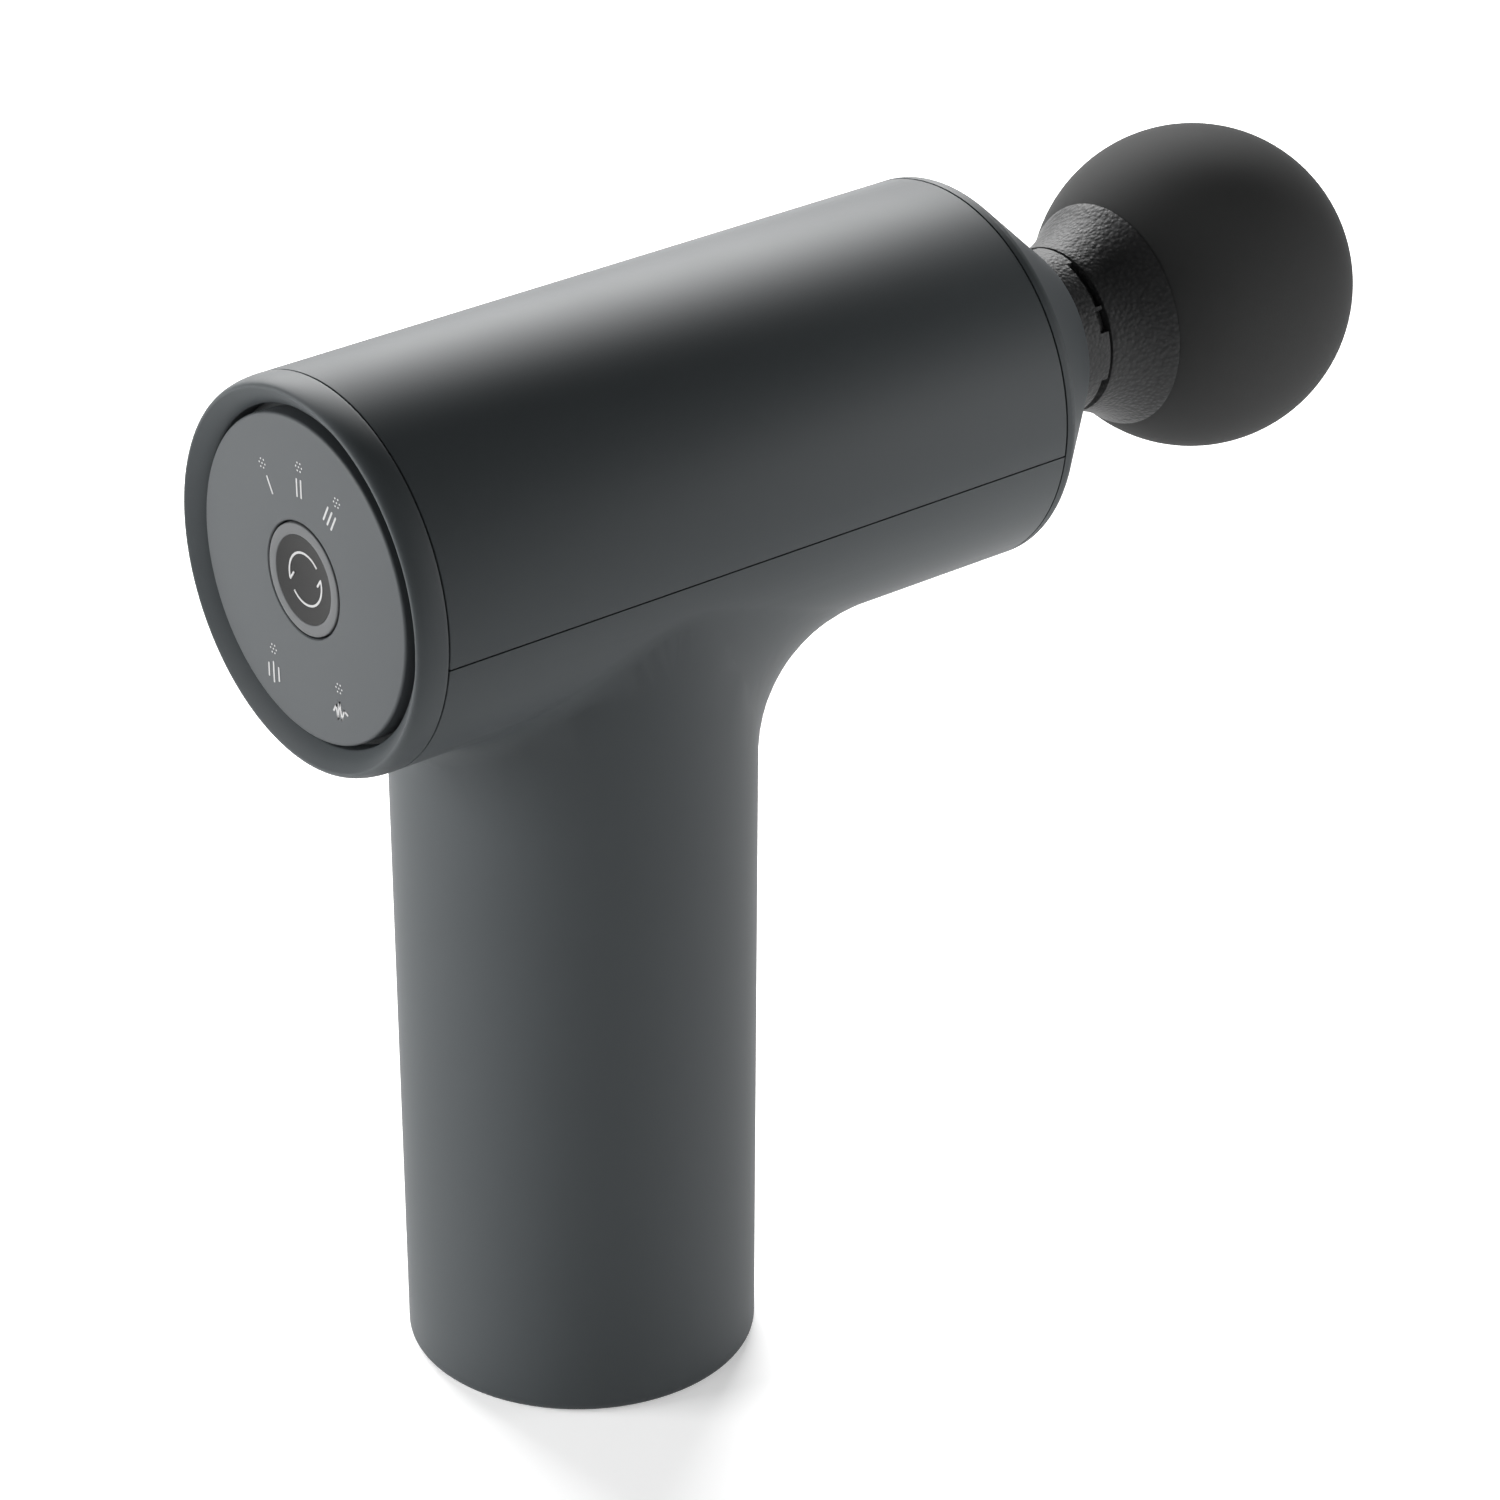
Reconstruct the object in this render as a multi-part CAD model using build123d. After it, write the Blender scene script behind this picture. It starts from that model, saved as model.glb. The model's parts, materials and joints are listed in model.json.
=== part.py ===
from build123d import *
import math
import os

# Massage gun with a removable ball head, millimetres.
# Origin: centre of the handle's flat base. +X forward to the ball, +Z up, barrel axis along X.

# ---- driving dimensions -------------------------------------------------------------
barrel_radius = 23.45
barrel_axis_z = 112.6
barrel_wall = 2.15
seam_below_axis = 3.2          # split between upper cover and handle housing
seam_gap = 0.2

panel_face_x = -36.6
bezel_crest_x = -37.9
bezel_crest_radius = 22.25
rear_seam_x = -33.95
front_seam_x = 55.5
nose_rim_x = 69.0
nose_rim_radius = 12.35
panel_radius = 19.3
button_radius = 6.75
button_proud = 0.55
button_travel = 0.4

handle_base_radius = 21.3
handle_radius_at_axis = 22.0
handle_wall = 1.95
front_blend = 19.3             # radius of the web between handle and barrel, in front
rear_blend = 4.5               # and behind
blend_sink = 0.03              # the web's edges run this far under both walls

neck_radius = 10.35            # drive sleeve and the small end of the head base
sleeve_front_x = 74.25
head_gap = 0.3
ring_places = (58.0, 67.5)     # O-rings on the head's stem
head_rim_x = 82.2
head_rim_radius = 13.9
ball_radius = 20.0
ball_centre_x = 96.8

motor_x = -2.5
stroke = 7.0
rod_length = 30.0
crank_throw = stroke / 2
wrist_x = motor_x + math.sqrt(rod_length ** 2 - crank_throw ** 2)
rod_tilt = math.degrees(math.asin(crank_throw / rod_length))
running_clearance = 0.03
free_gap = 0.35

cell_radius = 9.15
cell_length = 65.0
cell_offset = 9.25
cell_bottom_z = 11.0
board_inner_y = -12.2
board_thickness = 1.4

seam_z = barrel_axis_z - seam_below_axis
barrel_bore = barrel_radius - barrel_wall
piston_radius = 7.0
socket_radius = 5.5
bush_back_x, bush_front_x = 45.0, 55.0


# ---- shape helpers -------------------------------------------------------------------
def bar(axis, radius, start, end, a=0.0, b=0.0):
    """Round bar along X, Y or Z from start to end; a and b place it in the other two axes."""
    middle = (start + end) / 2
    spots = {"X": (middle, a, b), "Y": (a, middle, b), "Z": (a, b, middle)}
    turns = {"X": (0, 90, 0), "Y": (90, 0, 0), "Z": (0, 0, 0)}
    return Pos(*spots[axis]) * Rot(*turns[axis]) * Cylinder(radius, abs(end - start))


def pipe(axis, outer, inner, start, end, a=0.0, b=0.0):
    return bar(axis, outer, start, end, a, b) - bar(axis, inner, start, end, a, b)


def block(x0, x1, y0, y1, z0, z1):
    return Pos((x0 + x1) / 2, (y0 + y1) / 2, (z0 + z1) / 2) * Box(x1 - x0, y1 - y0, z1 - z0)


def turned(points, rounds=()):
    """Revolve an (x, radius) outline about the barrel axis; rounds lists (point index, fillet)."""
    outline = make_face(Polyline(*points, close=True))
    for index, size in rounds:
        corner = outline.vertices().sort_by_distance((*points[index], 0))[0]
        outline = fillet(corner, size)
    return Pos(0, 0, barrel_axis_z) * revolve(Rot(90, 0, 0) * outline, Axis.X)


def spots_on_circle(count, radius, first_angle=0.0):
    """(y, z) places round the barrel axis."""
    for i in range(count):
        turn = math.radians(first_angle + 360 * i / count)
        yield radius * math.cos(turn), barrel_axis_z + radius * math.sin(turn)


def lead(radius, route, bend):
    """Insulated lead: straight runs joined by tangent arcs."""
    path = FilletPolyline(*route, radius=bend)
    return sweep(Plane(path @ 0, z_dir=path % 0) * Circle(radius), path=path)


def screw(axis, shank, start, end, a, b, head_radius, head_height):
    """Pan-head screw; the head sits outside start, on the side away from end, with a cross slot."""
    out = 1 if start > end else -1
    body = bar(axis, shank, start, end, a, b)
    body += bar(axis, head_radius, start, start + out * head_height, a, b)
    for turn in (0, 90):
        place = {"X": (start + out * head_height, a, b), "Z": (a, b, start + out * head_height)}
        size = {"X": (head_height, 0.5, head_radius * 1.2), "Z": (0.5, head_radius * 1.2, head_height)}
        spin = {"X": (turn, 0, 0), "Z": (0, 0, turn)}
        body -= Pos(*place[axis]) * Rot(*spin[axis]) * Box(*size[axis])
    return body


# ---- shells ----------------------------------------------------------------------------
def blend_size(angle):
    """Radius of the web between handle and barrel at an angle round the handle, 0 in front."""
    share = min(max((angle - 40) / 105, 0), 1)
    return rear_blend + (front_blend - rear_blend) * (0.5 + 0.5 * math.cos(math.pi * share))


def ball_centre(angle, size):
    """Centre of a ball of that size touching handle and barrel, and the handle's outward normal there."""
    draft = math.atan((handle_radius_at_axis - handle_base_radius) / barrel_axis_z)
    turn = math.radians(angle)
    normal = Vector(math.cos(turn) * math.cos(draft), math.sin(turn) * math.cos(draft), -math.sin(draft))
    low, high = 0.0, barrel_axis_z
    for _ in range(40):
        z = (low + high) / 2
        radius = handle_base_radius + (handle_radius_at_axis - handle_base_radius) * z / barrel_axis_z - blend_sink
        centre = Vector(radius * math.cos(turn), radius * math.sin(turn), z) + normal * size
        too_far = math.hypot(centre.Y, centre.Z - barrel_axis_z) > barrel_radius - blend_sink + size
        low, high = (z, high) if too_far else (low, z)
    return centre, normal


def blend_section(angle):
    """Web section: an arc tangent to handle and barrel in front of a strip of both walls."""
    size, depth = blend_size(abs(angle)), 3.0
    centre, to_handle = ball_centre(angle, size)
    to_barrel = Vector(0, centre.Y, centre.Z - barrel_axis_z).normalized()
    halfway = (to_handle + to_barrel).normalized()
    spread = halfway.dot(to_handle)
    on_handle, on_barrel = centre - to_handle * size, centre - to_barrel * size
    corners = [on_barrel, centre - to_barrel * (size + depth), centre - halfway * ((size + depth) / spread),
               centre - to_handle * (size + depth), on_handle]
    edges = [ThreePointArc(on_handle, centre - halfway * size, on_barrel)]
    edges += [Line(a, b) for a, b in zip(corners, corners[1:])]
    return make_face(Wire(edges))


def blend(side):
    return loft([blend_section(side * angle) for angle in range(0, 181, 15)])


def handle_body(base_radius, top_radius, bottom, top):
    return Pos(0, 0, (bottom + top) / 2) * Cone(base_radius, top_radius, top - bottom)


def body_outside():
    handle = handle_body(handle_base_radius, handle_radius_at_axis, 0, barrel_axis_z)
    handle = fillet(handle.edges().sort_by(Axis.Z)[0], 1.3)
    barrel = bar("X", barrel_radius, rear_seam_x, front_seam_x, 0, barrel_axis_z)
    return barrel + handle + blend(1) + blend(-1)


def body_inside():
    handle = handle_body(handle_base_radius - handle_wall, handle_radius_at_axis - handle_wall - 0.4,
                         -0.01, barrel_axis_z)
    return handle + bar("X", barrel_bore, rear_seam_x - 1, front_seam_x + 1, 0, barrel_axis_z)


def seam_lip(clearance):
    """Narrow lip that keys the cover to the housing along the straight seam."""
    lips = []
    for side in (-1, 1):
        outer = side * (barrel_bore + 1.0 - clearance)
        inner = side * (barrel_bore - 0.6)
        low, high = sorted((outer, inner))
        lips.append(block(rear_seam_x + 6, front_seam_x - 8, low, high, seam_z - 1.5 + clearance, seam_z))
    return lips[0] + lips[1]


def handle_housing():
    shell = body_outside() - body_inside()
    shell -= block(-60, 80, -40, 40, seam_z - seam_gap / 2, 160)
    shell -= seam_lip(-0.1)
    for side in (-1, 1):
        near, far = sorted((side * 11.5, side * 19.9))
        shelf = block(near, far, -4, 4, 84.0, 90.4) & bar("Z", 20.2, 84.0, 90.4)
        shell += shelf - bar("Z", 1.1, 84.0, 90.4, side * 14.5, 0)
    for side in (-1, 1):
        near, far = sorted((side * 12.6, side * 19.8))
        boss = block(near, far, -2.4, 2.4, 2.4, 8.3) & bar("Z", 19.8, 2.4, 8.3)
        shell += boss - bar("Z", 0.9, 2.4, 8.3, side * 15.5, 0)
    return shell


def upper_cover():
    shell = pipe("X", barrel_radius, barrel_bore, rear_seam_x, front_seam_x, 0, barrel_axis_z)
    shell &= block(-60, 80, -40, 40, seam_z + seam_gap / 2, 160)
    for x in (-20.0, 16.0, 40.0):
        rib = pipe("X", barrel_bore + 0.1, barrel_bore - 1.2, x, x + 1.2, 0, barrel_axis_z)
        shell += rib & block(-60, 80, -40, 40, seam_z + 4, 160)
    return shell + (seam_lip(0.1) & block(-60, 80, -40, 40, 0, seam_z + seam_gap / 2)) \
        + seam_lip_root()


def seam_lip_root():
    """Joins the lip to the cover's wall just above the seam."""
    roots = []
    for side in (-1, 1):
        low, high = sorted((side * (barrel_bore - 0.6), side * (barrel_bore + 0.9)))
        roots.append(block(rear_seam_x + 6, front_seam_x - 8, low, high, seam_z, seam_z + 2.0))
    return roots[0] + roots[1]


def nose_slope(x):
    """Outside radius of the nose cone at x."""
    start = front_seam_x + 1.3
    return barrel_radius + (x - start) * (nose_rim_radius - barrel_radius) / (nose_rim_x - start)


def nose_ring():
    wall = 2.3
    back = front_seam_x + seam_gap
    shoulder = front_seam_x + 1.3
    seal_back, seal_front = 63.6, 67.2
    points = [(back, barrel_radius), (shoulder, barrel_radius), (nose_rim_x, nose_rim_radius),
              (nose_rim_x, neck_radius + 0.45), (seal_front, neck_radius + 0.45), (seal_front, 12.6),
              (seal_back, 12.6), (seal_back, nose_slope(seal_back) - wall),
              (shoulder + 0.5, barrel_radius - wall - 0.4), (back, barrel_radius - wall - 0.4)]
    ring = turned(points, [(1, 1.2), (2, 0.5)])
    for y, z in spots_on_circle(3, 16.8, 90):
        ring += bar("X", 2.2, back, 61.0, y, z)
    for y, z in spots_on_circle(3, 16.8, 90):
        ring -= bar("X", 1.0, back, 60.0, y, z)
    return ring


def rear_bezel():
    groove_x = panel_face_x + 1.5
    floor_x = -33.8
    spigot_end = -29.6
    rounding = 1.2
    outline = [
        Line((bezel_crest_x + 0.15, bezel_crest_radius - 0.45), (panel_face_x + 0.5, panel_radius + 0.75)),
        Line((panel_face_x + 0.5, panel_radius + 0.75), (groove_x, panel_radius + 0.5)),
        Line((groove_x, panel_radius + 0.5), (floor_x, panel_radius + 0.5)),
        Line((floor_x, panel_radius + 0.5), (floor_x, 16.5)),
        Line((floor_x, 16.5), (floor_x + 1.8, 16.5)),
        Line((floor_x + 1.8, 16.5), (floor_x + 1.8, 18.7)),
        Line((floor_x + 1.8, 18.7), (spigot_end, 18.7)),
        Line((spigot_end, 18.7), (spigot_end, barrel_bore - 0.1)),
        Line((spigot_end, barrel_bore - 0.1), (rear_seam_x - seam_gap, barrel_bore - 0.1)),
        Line((rear_seam_x - seam_gap, barrel_bore - 0.1), (rear_seam_x - seam_gap, barrel_radius)),
        Line((rear_seam_x - seam_gap, barrel_radius), (bezel_crest_x + 3.3, barrel_radius)),
        Bezier((bezel_crest_x + 3.3, barrel_radius), (bezel_crest_x + 1.4, barrel_radius),
               (bezel_crest_x, bezel_crest_radius + rounding * 0.55), (bezel_crest_x, bezel_crest_radius)),
        ThreePointArc((bezel_crest_x, bezel_crest_radius), (bezel_crest_x + 0.03, bezel_crest_radius - 0.27),
                      (bezel_crest_x + 0.15, bezel_crest_radius - 0.45)),
    ]
    face = make_face(Wire(outline))
    ring = Pos(0, 0, barrel_axis_z) * revolve(Rot(90, 0, 0) * face, Axis.X)
    for y, z in spots_on_circle(3, 16.3, 30):
        ring += bar("X", 1.9, floor_x + 0.6, -28.6, y, z)
    for y, z in spots_on_circle(3, 16.3, 30):
        ring -= bar("X", 0.8, floor_x + 1.0, -28.6, y, z)
    return ring


# ---- control panel and button ------------------------------------------------------------
def light_spots():
    """(y, z) of the five indicator lights: three speeds above the button, two programmes below."""
    for radius, angle in ((13.8, 55), (13.4, 87), (13.3, 119), (13.6, 302), (12.8, 244)):
        turn = math.radians(angle)
        yield radius * math.cos(turn), barrel_axis_z + radius * math.sin(turn)


def control_panel():
    back = -33.85
    panel = turned([(panel_face_x, button_radius + 0.2), (panel_face_x, panel_radius),
                    (back, panel_radius), (back, button_radius + 0.2)], [(1, 0.35)])
    for y, z in light_spots():
        panel -= bar("X", 0.6, panel_face_x, back, y, z)
    return panel


def panel_windows():
    return [bar("X", 0.6, panel_face_x, -29.9, y, z) for y, z in light_spots()]


def button_ring():
    face_x = panel_face_x - button_proud
    return turned([(face_x, 5.2), (face_x, button_radius), (-33.6, button_radius), (-33.6, 7.9),
                   (-32.6, 7.9), (-32.6, 5.2)], [(1, 0.3)])


def button_cap():
    face_x = panel_face_x - button_proud + 0.05
    cap = bar("X", 5.2, face_x, -33.0, 0, barrel_axis_z)
    return cap + bar("X", 1.5, -33.0, -31.9, 0, barrel_axis_z)


def control_board():
    board = bar("X", 18.4, -28.6, -27.4, 0, barrel_axis_z)
    for y, z in spots_on_circle(3, 16.3, 30):
        board -= bar("X", 0.8, -28.6, -27.4, y, z)
    return board


def light_emitters():
    return [block(-29.5, -28.6, y - 0.8, y + 0.8, z - 0.5, z + 0.5) for y, z in light_spots()]


def button_switch():
    tip = -31.9 + button_travel + 0.05
    switch = block(-30.9, -28.6, -3, 3, barrel_axis_z - 3, barrel_axis_z + 3)
    return switch + bar("X", 1.7, tip, -30.9, 0, barrel_axis_z)


def control_chips():
    z = barrel_axis_z
    return [block(-27.4, -26.2, -3.5, 3.5, z + 2, z + 9), block(-27.4, -26.4, 6, 10, z - 4, z + 1),
            block(-27.4, -24.8, -13.4, -7.4, z - 11.5, z - 7.5)]


def board_screws():
    return [screw("X", 0.78, -27.4, -31.8, y, z, 1.7, 1.1) for y, z in spots_on_circle(3, 16.3, 30)]


# ---- motor --------------------------------------------------------------------------------
def on_motor(shape):
    return Pos(motor_x, 0, barrel_axis_z) * shape


def around_motor(count, shape, first_angle=0.0):
    """Copies of a shape made at the motor axis's +X side, turned round the motor axis."""
    return [on_motor(Rot(0, first_angle + 360 * i / count, 0) * shape) for i in range(count)]


def rotor_can():
    can = bar("Y", 13.5, 4.5, 12.7) - bar("Y", 12.2, 5.9, 12.7) - bar("Y", 1.48, 4.5, 6)
    for i in range(6):
        can -= Rot(0, 30 + 60 * i, 0) * bar("Y", 1.9, 4.5, 6, 7.6, 0)
    return on_motor(can)


def rotor_magnets():
    ring = pipe("Y", 12.2, 10.85, 6.2, 12.4)
    piece = ring & block(5, 13, 0, 13, -2.75, 2.75)
    return around_motor(12, piece)


def stator_core():
    core = pipe("Y", 6.2, 4.5, 6.8, 12.0)
    for i in range(9):
        tooth = block(5.8, 9.8, 6.8, 12.0, -0.9, 0.9)
        tip = pipe("Y", 10.4, 9.5, 6.8, 12.0) & block(8, 11, 6.8, 12.0, -2.9, 2.9)
        core += Rot(0, 40 * i, 0) * (tooth + tip)
    return on_motor(core)


def stator_windings():
    coil = block(6.5, 9.1, 6.35, 12.45, -2.1, 2.1) - block(6.5, 9.1, 6.8, 12.0, -0.9, 0.9)
    outer_edges = [edge for edge in coil.edges().filter_by(Axis.X) if abs(edge.center().Z) > 1.5]
    coil = fillet(outer_edges, 0.35)
    return around_motor(9, coil)


def motor_shaft():
    return on_motor(bar("Y", 1.48, 2.5, 15.0))


def motor_bearings():
    return [on_motor(pipe("Y", 3.5, 1.48 + 0.02, y, y + 2.5)) for y in (6.3, 12.4)]


def motor_bracket():
    plate = bar("Y", 13.0, 13.1, 14.9) + block(-8, 8, 13.1, 14.9, -20.2, -5)
    tube = bar("Y", 4.5, 6.3, 13.1)
    foot = block(-17.5, 22.5, -6, 14.9, -22.1, -20.2)
    bracket = on_motor(plate + tube + foot)
    bracket &= bar("Z", 18.9, 80, 95) + block(-30, 30, -30, 30, 92.6, 160)
    bracket -= on_motor(bar("Y", 3.5, 6.2, 15.0))
    bracket -= on_motor(block(-4.6, 4.6, 13, 15, -11.2, -6.6))
    for side in (-1, 1):
        bracket -= bar("Z", 1.1, 90, 93, side * 14.5, 0)
    return bracket


def bracket_screws():
    return [screw("Z", 1.05, 92.4, 85.0, side * 14.5, 0, 2.1, 1.4) for side in (-1, 1)]


# ---- crank, rod and piston -------------------------------------------------------------------
def crank_disc():
    disc = bar("Y", 12.0, 2.5, 4.5)
    for side in (-1, 1):
        disc -= bar("Y", 2.6, 2.5, 4.5, side * 7.2, 3.5)
    disc += bar("Y", 12.0, 2.5, 4.5) & block(-12, 12, 2.5, 4.5, -12, -3)
    disc -= bar("Y", 1.48, 2.5, 4.5) + bar("Y", 1.6, 2.5, 4.5, 0, crank_throw)
    return on_motor(disc)


def crank_pin():
    pin = bar("Y", 1.6, -2.5, 4.5, 0, crank_throw) + bar("Y", 2.7, -3.3, -2.5, 0, crank_throw)
    return on_motor(pin)


def on_rod(shape):
    """Places a shape made with the big end at the origin and the small end on +X."""
    return Pos(motor_x, 0, barrel_axis_z + crank_throw) * Rot(0, rod_tilt, 0) * shape


def connecting_rod():
    rod = bar("Y", 5.8, -2, 2) + bar("Y", 3.6, -2, 2, rod_length, 0)
    rod += block(0, rod_length, -1.3, 1.3, -2.2, 2.2)
    rod -= block(7.5, rod_length - 5.5, 0.7, 2, -1.1, 1.1) + block(7.5, rod_length - 5.5, -2, -0.7, -1.1, 1.1)
    rod -= bar("Y", 4.0, -2, 2) + bar("Y", 2.5, -2, 2, rod_length, 0)
    return on_rod(rod)


def rod_bearings():
    big = pipe("Y", 4.0, 1.6 + running_clearance, -2, 2)
    small = pipe("Y", 2.5, 1.25, -2, 2, rod_length, 0)
    return [on_rod(big), on_rod(small)]


def wrist_pin():
    return on_rod(bar("Y", 1.25, -4.6, 4.6, rod_length, 0))


def drive_piston():
    half_window = stroke + 1.25 + free_gap + 0.1
    rear, web, front = wrist_x - half_window - 2.2, wrist_x + 11.0, wrist_x + 13.7
    z = barrel_axis_z
    yoke = block(rear, front, -5, 5, z - 11, z + 8)
    yoke -= block(rear, web, -2.7, 2.7, z - 11, z + 8)
    yoke -= block(wrist_x - half_window, wrist_x + half_window, -5, 5, z - half_window, z + 1.7)
    piston = yoke + bar("X", piston_radius, front, 73.6, 0, z)
    return piston - bar("X", socket_radius, 52.0, 73.6, 0, z)


def drive_sleeve():
    sleeve = turned([(59.0, piston_radius), (59.0, neck_radius - 0.05),
                     (sleeve_front_x, neck_radius - 0.05), (sleeve_front_x, socket_radius + 0.15),
                     (73.6, socket_radius + 0.15), (73.6, piston_radius)], [(1, 0.4), (2, 0.2)])
    for i in range(4):
        notch = pipe("X", neck_radius + 1, neck_radius - 0.75, sleeve_front_x - 1.7, sleeve_front_x + 0.1)
        notch &= block(60, 80, 0, 12, -3.4, 3.4)
        sleeve -= Pos(0, 0, barrel_axis_z) * Rot(25 + 90 * i, 0, 0) * notch
    return sleeve


def guide_bush():
    return pipe("X", 9.5, piston_radius + running_clearance, bush_back_x, bush_front_x, 0, barrel_axis_z)


def guide_plate():
    plate = pipe("X", barrel_bore - 0.3, 9.5, 47.4, 51.0, 0, barrel_axis_z)
    for y, z in spots_on_circle(3, 16.8, 90):
        plate -= bar("X", 1.0, 47.4, 51.0, y, z)
    for y, z in spots_on_circle(6, 14.2, 0):
        plate -= bar("X", 2.2, 47.4, 51.0, y, z)
    plate -= block(40, 60, -22, 22, seam_z - 2, seam_z + 2.4) - block(40, 60, -19.6, 19.6, 90, 130)
    return plate


def nose_screws():
    return [screw("X", 0.95, 47.4, 59.5, y, z, 2.0, 1.4) for y, z in spots_on_circle(3, 16.8, 90)]


def front_seal():
    return turned([(64.6, neck_radius + 0.3), (64.6, 12.6), (67.2, 12.6), (67.2, 11.2),
                   (65.6, 11.2), (65.6, neck_radius + 0.3)])


def seal_retainer():
    return pipe("X", 12.6, 11.3, 63.6, 64.6, 0, barrel_axis_z)


# ---- head ------------------------------------------------------------------------------------
def head_base():
    back = sleeve_front_x + head_gap
    flare = [
        Bezier((back, neck_radius), (back + 2.6, neck_radius + 0.45), (head_rim_x - 2.2, head_rim_radius - 1.75),
               (head_rim_x, head_rim_radius)),
        Line((head_rim_x, head_rim_radius), (head_rim_x, 8.0)),
        Line((head_rim_x, 8.0), (93.0, 8.0)),
        Line((93.0, 8.0), (93.0, 0)),
        Line((93.0, 0), (back, 0)),
        Line((back, 0), (back, neck_radius)),
    ]
    base = Pos(0, 0, barrel_axis_z) * revolve(Rot(90, 0, 0) * make_face(Wire(flare)), Axis.X)
    stem = bar("X", socket_radius - 0.08, 53.5, back, 0, barrel_axis_z)
    stem = chamfer(stem.edges().sort_by(Axis.X)[0], 0.8)
    for x in ring_places:
        stem -= pipe("X", 6.0, 4.05, x - 0.8, x + 0.8, 0, barrel_axis_z)
    return base + stem


def stem_rings():
    return [Pos(x, 0, barrel_axis_z) * Rot(0, 90, 0) * Torus(4.77, 0.7) for x in ring_places]


def massage_ball():
    ball = Pos(ball_centre_x, 0, barrel_axis_z) * Sphere(ball_radius)
    ball -= bar("X", 30, 60, head_rim_x, 0, barrel_axis_z)
    return ball - bar("X", 8.0, head_rim_x - 1, 93.0, 0, barrel_axis_z)


# ---- handle contents ---------------------------------------------------------------------------
def base_cap():
    cap = bar("Z", 19.2, 0, 2.3) + pipe("Z", 19.2, 17.8, 2.3, 6.0)
    cap -= port_opening(4.9, 2.05, -1, 3)
    for side in (-1, 1):
        cap -= bar("Z", 1.0, 0, 3, side * 15.5, 0) + bar("Z", 2.2, 0, 1.2, side * 15.5, 0)
        near, far = sorted((side * 12, side * 20))
        cap -= block(near, far, -2.7, 2.7, 2.3, 6.5)
    return cap


def port_opening(half_width, half_height, low, high):
    """Stadium-shaped prism where the charging plug goes in."""
    y = port_y
    middle = block(-half_width + half_height, half_width - half_height, y - half_height, y + half_height,
                   low, high)
    for side in (-1, 1):
        middle += bar("Z", half_height, low, high, side * (half_width - half_height), y)
    return middle


port_y = board_inner_y + 1.85


def charging_socket():
    low, high = 0.4, 7.8
    shell = port_opening(4.7, 1.85, low, high) - port_opening(4.4, 1.55, low, high - 1.0)
    return shell + block(-3.3, 3.3, port_y - 0.35, port_y + 0.35, low + 0.8, high)


def base_screws():
    return [screw("Z", 0.85, 1.2, 8.0, side * 15.5, 0, 1.9, 0.9) for side in (-1, 1)]


def main_board():
    return block(-11, 11, board_inner_y - board_thickness, board_inner_y, 3.2, 89.0)


def board_parts():
    back = board_inner_y - board_thickness
    parts = [block(-7, 7, back - 1.0, back, 20 + 11 * i, 26 + 11 * i) for i in range(4)]
    parts += [block(side * 5 - 1.5, side * 5 + 1.5, back - 1.8, back, 66, 69) for side in (-1, 1)]
    parts.append(block(-5, 5, back - 2.4, back, 74, 80))
    return parts


def battery_cells():
    cells = []
    for side in (-1, 1):
        cell = bar("Z", cell_radius, cell_bottom_z, cell_bottom_z + cell_length, side * cell_offset, 0)
        cells.append(fillet(cell.edges(), 0.7))
    return cells


def tab_plates():
    top = cell_bottom_z + cell_length
    plates = [block(-14, 14, -3, 3, cell_bottom_z - 0.2, cell_bottom_z)]
    plates += [block(side * cell_offset - 4, side * cell_offset + 4, -3.5, 3.5, top, top + 0.2)
               for side in (-1, 1)]
    return plates


def battery_tabs():
    return tab_plates()


def battery_holder():
    top = cell_bottom_z + cell_length
    keep = block(-20, 20, -11.6, 20, 0, 90)
    holder = (bar("Z", 18.6, 8.6, 12.6) + bar("Z", 18.6, top - 1.6, top + 2.0)) & keep
    holder += block(-12, 12, 10.6, 12.4, 8.6, top + 2.0)
    for side in (-1, 1):
        holder -= bar("Z", cell_radius + 0.1, cell_bottom_z, top, side * cell_offset, 0)
        holder -= bar("Z", 1.4, top - 1, top + 3, side * cell_offset, 0)
    for plate in tab_plates():
        holder -= plate
    for low, high in ((cell_bottom_z - 0.2, 13), (top - 2, top)):
        holder -= block(-2, 2, -3.4, 3.4, low, high)
    return holder


def battery_pad():
    pad = pipe("Z", 17.0, 11.4, 78.1, 83.6) & block(-20, 20, -3, 20, 70, 90)
    return fillet(pad.edges().filter_by(Axis.Z), 1.0)


def battery_leads():
    low, turn_z = cell_bottom_z + cell_length + 0.2, 81.0
    return [lead(0.75, [(x, 0, low), (x, 0, turn_z), (x, board_inner_y, turn_z)], 3.0)
            for x in (-cell_offset, cell_offset)]


def motor_leads():
    leads = []
    for i in (-1, 0, 1):
        x = motor_x + 2.6 * i
        leads.append(lead(0.55, [(x, 12.45, 104.0), (x, 16.3, 104.0), (x, 16.3, 87.0),
                                 (x, board_inner_y, 87.0)], 1.9))
    return leads


def control_lead():
    y, z = -10.4, barrel_axis_z - 9.5
    return lead(0.9, [(-24.8, y, z), (-8.0, y, z), (-8.0, y, 84.0), (-8.0, board_inner_y, 84.0)], 1.6)


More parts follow.
